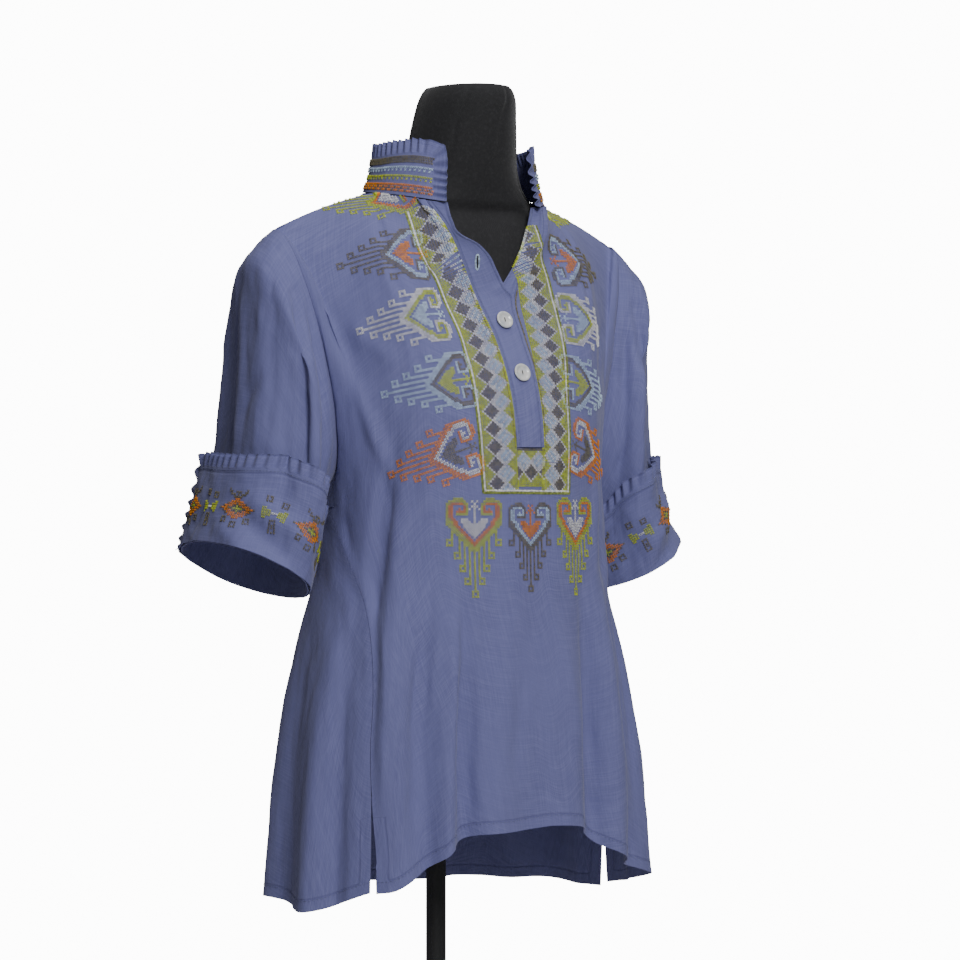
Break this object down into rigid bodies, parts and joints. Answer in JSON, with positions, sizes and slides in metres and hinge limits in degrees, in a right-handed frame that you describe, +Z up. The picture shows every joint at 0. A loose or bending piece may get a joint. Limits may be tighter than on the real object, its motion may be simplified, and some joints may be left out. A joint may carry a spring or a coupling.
{
  "type": "tunic on a dress form",
  "caption": "Pullover tunic with ruffled stand collar, buttoned placket, turned-up ruffled cuffs, side vents and arched hem, hung on a padded dress form with pole and round base.",
  "frame": {"origin": "centre of the stand base's underside, on the floor", "axes": "+Z up along the pole, the tunic faces -Y, the wearer's left is +X"},
  "size_m": [0.5612, 0.3479, 1.495],
  "materials": {
    "linen": "matte plain-weave linen in dusty blue-violet",
    "shell": "polished shell, pale grey-white",
    "jersey": "black stretch jersey over padding",
    "steel": "black satin lacquer"
  },
  "bodies": {
    "root": {"front_panel": "linen", "back_panel": "linen", "left_sleeve": "linen", "right_sleeve": "linen", "left_cuff": "linen", "right_cuff": "linen", "left_cuff_ruffle": "linen", "right_cuff_ruffle": "linen", "collar_stand": "linen", "collar_ruffle": "linen", "placket_over": "linen", "placket_under": "linen", "button_1": "shell", "button_2": "shell", "form_body": "jersey", "form_socket": "steel", "stand_pole": "steel", "stand_base": "steel"}
  },
  "joints": []
}
